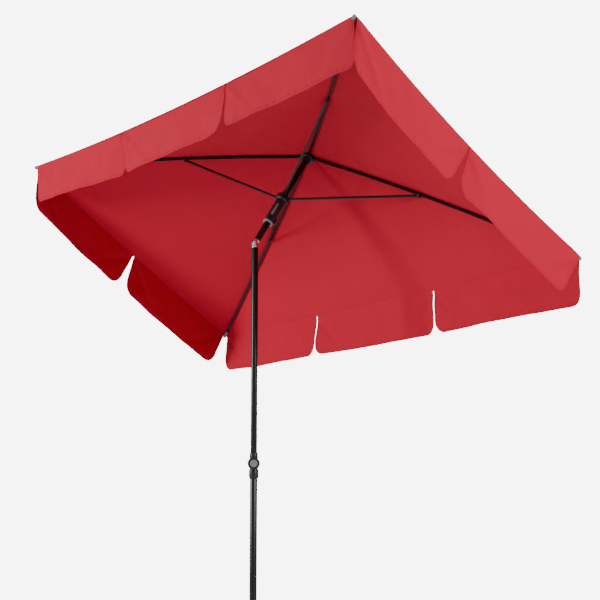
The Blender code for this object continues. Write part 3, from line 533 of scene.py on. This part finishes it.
SHORT_SIDE_DIP = 18 * MM
LONG_SIDE_SCALLOP = 16 * MM  # and how far it is drawn in
SHORT_SIDE_SCALLOP = 12 * MM
PANEL_SAG = 7 * MM
CORNER_CUT = 5 * MM  # the cloth's corner stops short of the rib's tip


def canopy_height(x, y):
    """Height of the cloth above the tilt pin, over a point of the plan."""
    along, across = abs(x) / HALF_LENGTH, abs(y) / HALF_WIDTH
    share = max(along, across)
    reach = max(share * RIB_PLAN - PIVOT_RADIUS, 0)
    height = PIVOT.z + CLOTH_OVER_RIB - (SLOPE + BEND * reach) * reach
    beside = min(along, across) / max(share, 0.001)
    between = 1 - beside * beside
    dip = LONG_SIDE_DIP if across > along else SHORT_SIDE_DIP
    height -= between * (dip * share + PANEL_SAG * math.sin(math.pi * min(share, 1.0)))
    rim = min(1, 10 * (1 - share))
    distance = math.hypot(x, y)
    haul = math.exp(-((distance - 0.10) / 0.14) ** 2)
    azimuth = math.atan2(y, x)
    height += between * (
        1.6 * MM * haul * math.sin(9 * azimuth + 2 * noise.noise((x * 3, y * 3, 1.7)))
        + 3.0 * MM * rim * noise.noise((x * 3.2, y * 4.6, 0.3))
        + 0.9 * MM * rim * noise.noise((x * 11.0, y * 14.0, 4.1)))
    soft_fold = distance * math.sin(azimuth - math.radians(77))
    if y > 0:
        height -= (5 * MM * math.exp(-(soft_fold / 0.05) ** 2)
                   * math.exp(-((distance - 0.25) / 0.2) ** 2))
    corner = math.hypot(HALF_LENGTH - abs(x), HALF_WIDTH - abs(y))
    height += 1.8 * MM * math.exp(-corner / 0.16) * between * rim * math.sin(260 * (along - across) * 0.22)
    return height


def canopy_point(x, y):
    """Where the cloth is that is cut for that point of the plan."""
    along, across = abs(x) / HALF_LENGTH, abs(y) / HALF_WIDTH
    height = canopy_height(x, y)
    in_x = SHORT_SIDE_SCALLOP * along ** 3 * (1 - across ** 2)
    in_y = LONG_SIDE_SCALLOP * across ** 3 * (1 - along ** 2)
    corner = math.hypot(HALF_LENGTH - abs(x), HALF_WIDTH - abs(y))
    cut = CORNER_CUT * math.exp(-(corner / 0.022) ** 2)
    in_x += cut * HALF_LENGTH / RIB_PLAN
    in_y += cut * HALF_WIDTH / RIB_PLAN
    return from_shaft(x - math.copysign(in_x, x), y - math.copysign(in_y, y), height)


def spaced(count, close_start, close_end):
    """Shares from 0 to 1 that lie closer together at the ends."""
    inner = [step / count for step in range(count + 1)]
    return sorted({0.0, 1.0, *close_start, *close_end, *inner[1:-1]})


def grid_mesh(name, columns, rows, place, thread):
    """A sheet of quads: place gives each vertex, thread its coordinates on the flat cloth in metres."""
    bm = bmesh.new()
    uv = bm.loops.layers.uv.new("thread")
    verts = [[bm.verts.new(place(s, t)) for t in rows] for s in columns]
    flat = [[thread(s, t) for t in rows] for s in columns]
    for i in range(len(columns) - 1):
        for j in range(len(rows) - 1):
            corners = ((i, j), (i + 1, j), (i + 1, j + 1), (i, j + 1))
            face = bm.faces.new([verts[a][b] for a, b in corners])
            for loop, (a, b) in zip(face.loops, corners):
                loop[uv].uv = flat[a][b]
    bmesh.ops.remove_doubles(bm, verts=bm.verts, dist=0.000005)
    mesh = bpy.data.meshes.new(name)
    bm.to_mesh(mesh)
    bm.free()
    mesh.shade_smooth()
    return mesh


def cloth_piece(name, mesh, outward, body, replaced, thickness=CLOTH_THICKNESS):
    """Gives a sheet its thickness, with the face that it has now turned outward."""
    mean = sum((face.normal * face.area for face in mesh.polygons), Vector())
    if mean.dot(outward) < 0:
        mesh.flip_normals()
    obj = new_piece(name, mesh)
    solid = obj.modifiers.new("cloth", "SOLIDIFY")
    solid.thickness = thickness
    solid.offset = 0
    plain_mesh(obj)
    obj.data.set_sharp_from_angle(angle=math.radians(50))
    return finished(obj, CLOTH, "red_polyester", body, *replaced)


def gathers(obj, axis):
    """Gives the piece its own copy of its mesh."""
    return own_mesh(obj)


CROWN_START = 0.03
signs = {number: (math.copysign(1, p.x), math.copysign(1, p.y)) for number, p in corner_points.items()}


def panel(number, long_side):
    """The triangle of cloth between the crown, a rib and the middle of a long or short side."""
    along, across = signs[number]

    def plan(s, t):
        x, y = (s * t, s) if long_side else (s, s * t)
        return along * x * HALF_LENGTH, across * y * HALF_WIDTH

    def place(s, t):
        return canopy_point(*plan(s, t))

    out = [CROWN_START + (1 - CROWN_START) * step / 90 for step in range(91)]
    name, replaced = (f"canopy_long_{number}", [f"canopy_panel_{number}"]) if long_side else (
        f"canopy_short_{number}", [])
    mesh = grid_mesh(name, out, [step / 90 for step in range(91)], place, plan)
    return cloth_piece(name, mesh, SHAFT, f"rib_{number}", replaced)


def across_rib(number, long_side):
    """A direction along a panel's own cloth, square to its rib."""
    along, across = signs[number]
    tip = joint_place(f"flap_hang_{number}")
    rib = (tip - canopy_point(0, 0)).normalized()
    edge = (canopy_point(0, across * HALF_WIDTH) if long_side else canopy_point(along * HALF_LENGTH, 0)) - tip
    return (edge - rib * edge.dot(rib)).normalized()


# Stitching: every hem and seam has a row of lock stitches, made by one node tree that lays a stitch at
# each step along a line.

STITCH_PITCH = 4.6 * MM
STITCH_LENGTH = 3.2 * MM
STITCH_RADIUS = 0.45 * MM


def stitch_tree():
    tree = bpy.data.node_groups.new("stitch_row", "GeometryNodeTree")
    tree.interface.new_socket("Geometry", in_out="INPUT", socket_type="NodeSocketGeometry")
    for name, value in (("Pitch", STITCH_PITCH), ("Length", STITCH_LENGTH), ("Radius", STITCH_RADIUS)):
        socket = tree.interface.new_socket(name, in_out="INPUT", socket_type="NodeSocketFloat")
        socket.default_value = value
    tree.interface.new_socket("Geometry", in_out="OUTPUT", socket_type="NodeSocketGeometry")
    source = tree.nodes.new("NodeGroupInput")
    sink = tree.nodes.new("NodeGroupOutput")
    line = tree.nodes.new("GeometryNodeMeshToCurve")
    steps = tree.nodes.new("GeometryNodeResampleCurve")
    steps.mode = "LENGTH"
    tangent = tree.nodes.new("GeometryNodeInputTangent")
    align = tree.nodes.new("FunctionNodeAlignRotationToVector")
    align.axis = "Z"
    stitch = tree.nodes.new("GeometryNodeMeshCylinder")
    stitch.inputs["Vertices"].default_value = 5
    lay = tree.nodes.new("GeometryNodeInstanceOnPoints")
    real = tree.nodes.new("GeometryNodeRealizeInstances")
    paint = tree.nodes.new("GeometryNodeSetMaterial")
    paint.inputs["Material"].default_value = THREAD
    links = tree.links
    links.new(source.outputs["Geometry"], line.inputs["Mesh"])
    links.new(line.outputs["Curve"], steps.inputs["Curve"])
    links.new(source.outputs["Pitch"], steps.inputs["Length"])
    links.new(source.outputs["Length"], stitch.inputs["Depth"])
    links.new(source.outputs["Radius"], stitch.inputs["Radius"])
    links.new(tangent.outputs["Tangent"], align.inputs["Vector"])
    links.new(steps.outputs["Curve"], lay.inputs["Points"])
    links.new(stitch.outputs["Mesh"], lay.inputs["Instance"])
    links.new(align.outputs["Rotation"], lay.inputs["Rotation"])
    links.new(lay.outputs["Instances"], real.inputs["Geometry"])
    links.new(real.outputs["Geometry"], paint.inputs["Geometry"])
    links.new(paint.outputs["Geometry"], sink.inputs["Geometry"])
    return tree


STITCHES = stitch_tree()


def stitched(name, lines, body):
    """Rows of stitches along lists of points, as one piece."""
    bm = bmesh.new()
    for line in lines:
        verts = [bm.verts.new(point) for point in line]
        for pair in zip(verts, verts[1:]):
            bm.edges.new(pair)
    mesh = bpy.data.meshes.new(name)
    bm.to_mesh(mesh)
    bm.free()
    obj = new_piece(name, mesh)
    modifier = obj.modifiers.new("stitches", "NODES")
    modifier.node_group = STITCHES
    for item in STITCHES.interface.items_tree:
        if item.in_out == "INPUT" and item.socket_type == "NodeSocketFloat":
            modifier[item.identifier] = item.default_value
    plain_mesh(obj)
    return finished(obj, THREAD, "red_polyester", body)


HEM = 10 * MM
STITCH_LIFT = CLOTH_THICKNESS / 2 + 0.15 * MM
TAPE_WIDTH = 14 * MM
TAPE_SHARE = 0.93  # of the rib's length in the plan
SEAM_OFFSET = 5 * MM


def beside_rib(number, share, aside):
    """A point of the plan beside the rib's line."""
    along, across = signs[number]
    return (along * (share * HALF_LENGTH + aside * HALF_WIDTH / RIB_PLAN),
            across * (share * HALF_WIDTH - aside * HALF_LENGTH / RIB_PLAN))


def hem_rows(number, long_side):
    """A row of stitches along a panel's outer hem, on the cloth's upper and lower face."""
    along, across = signs[number]
    lines = []
    for lift in (-STITCH_LIFT, STITCH_LIFT):
        line = []
        for step in range(61):
            share = 0.002 + 0.975 * step / 60
            if long_side:
                x, y = share * HALF_LENGTH, HALF_WIDTH - HEM
            else:
                x, y = HALF_LENGTH - HEM, share * HALF_WIDTH
            line.append(canopy_point(along * x, across * y) + SHAFT * lift)
        lines.append(line)
    return stitched(f"canopy_{'long' if long_side else 'short'}_stitches_{number}", lines, f"rib_{number}")


def seam_tape(number):
    """The tape over the seam on a rib, with a row of stitches near each edge of it."""
    def plan(s, t):
        return beside_rib(number, s, (t - 0.5) * TAPE_WIDTH)

    def place(s, t):
        return canopy_point(*plan(s, t)) + SHAFT * (CLOTH_THICKNESS + 0.05 * MM)

    name = f"seam_tape_{number}"
    shares = [0.045 + TAPE_SHARE * step / 120 for step in range(121)]
    mesh = grid_mesh(name, shares, [0, 0.25, 0.5, 0.75, 1], place, plan)
    tape = cloth_piece(name, mesh, SHAFT, f"rib_{number}", [])
    lines = [[canopy_point(*beside_rib(number, 0.06 + 0.91 * step / 60, aside)) + SHAFT * lift
              for step in range(61)]
             for aside in (-SEAM_OFFSET, SEAM_OFFSET)
             for lift in (-STITCH_LIFT, STITCH_LIFT + CLOTH_THICKNESS + 0.05 * MM)]
    rows = stitched(f"seam_stitches_{number}", lines, f"rib_{number}")


for number in CORNERS:
    for long_side in (True, False):
        cloth = panel(number, long_side)
        rows = hem_rows(number, long_side)
        for obj in (cloth, rows):
            gathers(obj, across_rib(number, long_side))
    seam_tape(number)


# The valance: ten flaps sewn under the canopy's edge. Each is hemmed all round, has round lower
# corners and hangs by its own weight, so its rim curls, its middle waves and it drags at the slits.

FLAP_HEIGHT = 0.168
FLAP_CORNER = 0.05
SLIT = 5 * MM
CORNER_GAP = 8 * MM
TUCK = 6 * MM  # how far under the raised side's edge its flaps are sewn
LONG_FLAPS = 3
HEM_STEP = 0.5 * MM
DOWN = Vector((0, 0, -1))


def flap(name, number, long_side, start, end, seed, to_middle):
    """A flap between two distances from the corner, on the rib's part of a long or short side.
    to_middle leaves its far end straight: it goes on over the side's middle with the next rib's.
    The long ones hang plumb, the sloping short ones only in part, and most where they are highest."""
    along, across = signs[number]
    half = HALF_LENGTH if long_side else HALF_WIDTH
    if long_side:
        body, out_way, plumb = f"long_flaps_{number}", Vector((0, across, 0)), (1.0, 1.0)
    else:
        body, out_way, plumb = f"short_flap_{number}", along * ALONG, (0.9, 0.1) if across < 0 else (0.2, 0.5)
    width = end - start
    tuck = TUCK if long_side and across < 0 else 0.0
    count = int(width / (5 * MM))
    hems = [0, 4 * MM, 9.6 * MM, 10.2 * MM]
    columns = spaced(count, [d / width for d in hems], [] if to_middle else [1 - d / width for d in hems])
    columns = [a for a, b in zip(columns, columns[1:] + [2.0]) if b - a > 0.001]
    rows = spaced(22, [0.01, 0.025], [1 - d / FLAP_HEIGHT for d in hems])

    def position(s):
        """Where it is along the side, from the side's middle."""
        distance = half - (start + s * width)
        return (along if long_side else across) * distance

    def ends(s):
        """Distances to the flap's near and far ends."""
        return s * width, 1.0 if to_middle else (1 - s) * width

    def fall(s):
        """The flap's height at a place along it, less where its lower corners are round."""
        distance = min(ends(s))
        if distance >= FLAP_CORNER:
            return FLAP_HEIGHT
        return FLAP_HEIGHT - FLAP_CORNER + math.sqrt(FLAP_CORNER ** 2 - (FLAP_CORNER - distance) ** 2)

    def sway(s, t):
        """How far the cloth stands out from its hanging plane."""
        where = position(s)
        low = t * fall(s) / FLAP_HEIGHT
        out = 24 * MM * noise.noise((where * 2.6, seed, 0.5)) * low ** 1.3
        out += 13 * MM * noise.noise((where * 6.5, low * 0.8, seed + 3)) * low
        out += 4 * MM * noise.noise((where * 14, low * 2.5, seed + 7)) * math.sin(math.pi * low)
        for index, distance in enumerate(ends(s)):
            turn = noise.noise((seed * 3 + index * 5, start * 9 + (to_middle or 0), 0.7))
            out += (20 * turn - 5) * MM * math.exp(-distance / 0.05) * low ** 1.6
            ridge = distance * 0.62 - low * FLAP_HEIGHT * 0.78 + 0.01
            reach = distance * 0.78 + low * FLAP_HEIGHT * 0.62
            out += (8 + 5 * turn) * MM * (math.exp(-(ridge / 0.017) ** 2) * math.exp(-reach / 0.16)
                                          * min(1, reach / 0.04))
        from_hem = (1 - t) * fall(s)
        pucker = math.exp(-((from_hem - 13 * MM) / (13 * MM)) ** 2)
        out += 2.2 * MM * pucker * noise.noise((where * 48, from_hem * 20, seed))
        return out * min(1, low * 12)

    def place(s, t):
        drop = fall(s)
        where = position(s)
        under = tuck * (1 - (where / HALF_LENGTH) ** 2)
        x, y = (where, across * (HALF_WIDTH - under)) if long_side else (along * HALF_LENGTH, where)
        share = plumb[0] + (plumb[1] - plumb[0]) * s
        down_way = (DOWN * share - SHAFT * (1 - share)).normalized()
        near_edge = min(*ends(s), (1 - t) * drop)
        hem = HEM_STEP if near_edge < HEM else 0.0
        return canopy_point(x, y) + down_way * (t * drop) + out_way * (sway(s, t) + hem)

    def thread(s, t):
        return (start + s * width, t * fall(s))

    mesh = grid_mesh(name, columns, rows, place, thread)
    nodes = [] if to_middle else [f"valance_{'long' if long_side else 'short'}_{number}"]
    cloth = cloth_piece(name, mesh, out_way, body, nodes)
    inset, side_inset = 7 * MM / FLAP_HEIGHT, 7 * MM / width
    last = 1.0 if to_middle else 1 - side_inset
    lines = []
    for face in (-1, 1):
        lift = out_way * face * STITCH_LIFT
        lines.append([place(side_inset + (last - side_inset) * k / 120, 1 - inset) + lift
                      for k in range(121)])
        for s in (side_inset, last)[:1 if to_middle else 2]:
            lines.append([place(s, (1 - inset) * k / 24) + lift for k in range(25)])
    rows = stitched(f"{name}_stitches", lines, body)
    for obj in (cloth, rows):
        gathers(obj, ALONG if long_side else ACROSS)


flap_width = 2 * HALF_LENGTH / LONG_FLAPS
for number in CORNERS:
    along, across = signs[number]
    long_seed = 40 + 7 * across
    flap(f"short_flap_{number}_cloth", number, False, CORNER_GAP, HALF_WIDTH - SLIT / 2,
         20 + 5 * along, False)
    flap(f"outer_flap_{number}_cloth", number, True, CORNER_GAP, flap_width - SLIT / 2, long_seed, False)
    flap(f"middle_flap_{number}_cloth", number, True, flap_width + SLIT / 2, HALF_LENGTH, long_seed, True)


# Crown patch: a doubled disc of the canopy's cloth, sewn round its rim over the meeting seams. It closes
# the canopy's centre, and the finial's flange holds it.

PATCH_RADIUS = 0.042


def crown_patch():
    turns = [step / 96 for step in range(97)]
    rings = [0.1 + 0.9 * step / 14 for step in range(15)]

    def plan(s, t):
        angle = 2 * math.pi * s
        return PATCH_RADIUS * t * math.cos(angle), PATCH_RADIUS * t * math.sin(angle)

    def place(s, t):
        return canopy_point(*plan(s, t)) + SHAFT * MM

    mesh = grid_mesh("crown_patch", turns, rings, place, plan)
    obj = cloth_piece("crown_patch", mesh, SHAFT, "shaft", [])
    edge = [place(step / 90, 1 - 5 * MM / PATCH_RADIUS) + SHAFT * 0.5 * MM for step in range(91)]
    rows = stitched("crown_patch_stitches", [edge], "shaft")


crown_patch()


# Floor, sky and lights: a pale studio with a long soft light at the front left and one at the right.
# The sky is seen bright, but gives little light, so that the two lights shape the cloth.

def stage():
    bpy.ops.mesh.primitive_circle_add(vertices=96, radius=18, fill_type="NGON", location=(0, 0, -0.5 * MM))
    floor = bpy.context.object
    floor.name = "studio_floor"
    finish = Finish("studio_floor")
    speck = finish.cloud(finish.place(), 3.0, 2.0)
    finish.set(Base_Color=finish.tone(speck, (0.86, 0.86, 0.86), (0.9, 0.9, 0.9)), Roughness=0.9)
    floor.data.materials.append(finish.material)


def area_light(name, place, target, size, power):
    light = bpy.data.lights.new(name, "AREA")
    light.shape = "RECTANGLE"
    light.size, light.size_y = size
    light.energy = power
    obj = bpy.data.objects.new(name, light)
    obj.location = place
    obj.rotation_euler = (Vector(target) - Vector(place)).to_track_quat("-Z", "Y").to_euler()
    bpy.context.scene.collection.objects.link(obj)


stage()
world = bpy.data.worlds.new("studio")
world.use_nodes = True
backdrop = world.node_tree.nodes["Background"]
backdrop.inputs["Color"].default_value = (1, 1, 1, 1)
seen = world.node_tree.nodes.new("ShaderNodeLightPath")
strength = world.node_tree.nodes.new("ShaderNodeMapRange")
strength.inputs["To Min"].default_value = 0.42
strength.inputs["To Max"].default_value = 7.0
world.node_tree.links.new(seen.outputs["Is Camera Ray"], strength.inputs["Value"])
world.node_tree.links.new(strength.outputs["Result"], backdrop.inputs["Strength"])
bpy.context.scene.world = world
area_light("front_left", (-2.5, -5.5, 2.9), (0, 0, 1.9), (1.2, 2.6), 300)
area_light("right", (6.0, 1.5, 3.8), (1.0, 0.2, 2.0), (1.5, 2.5), 300)
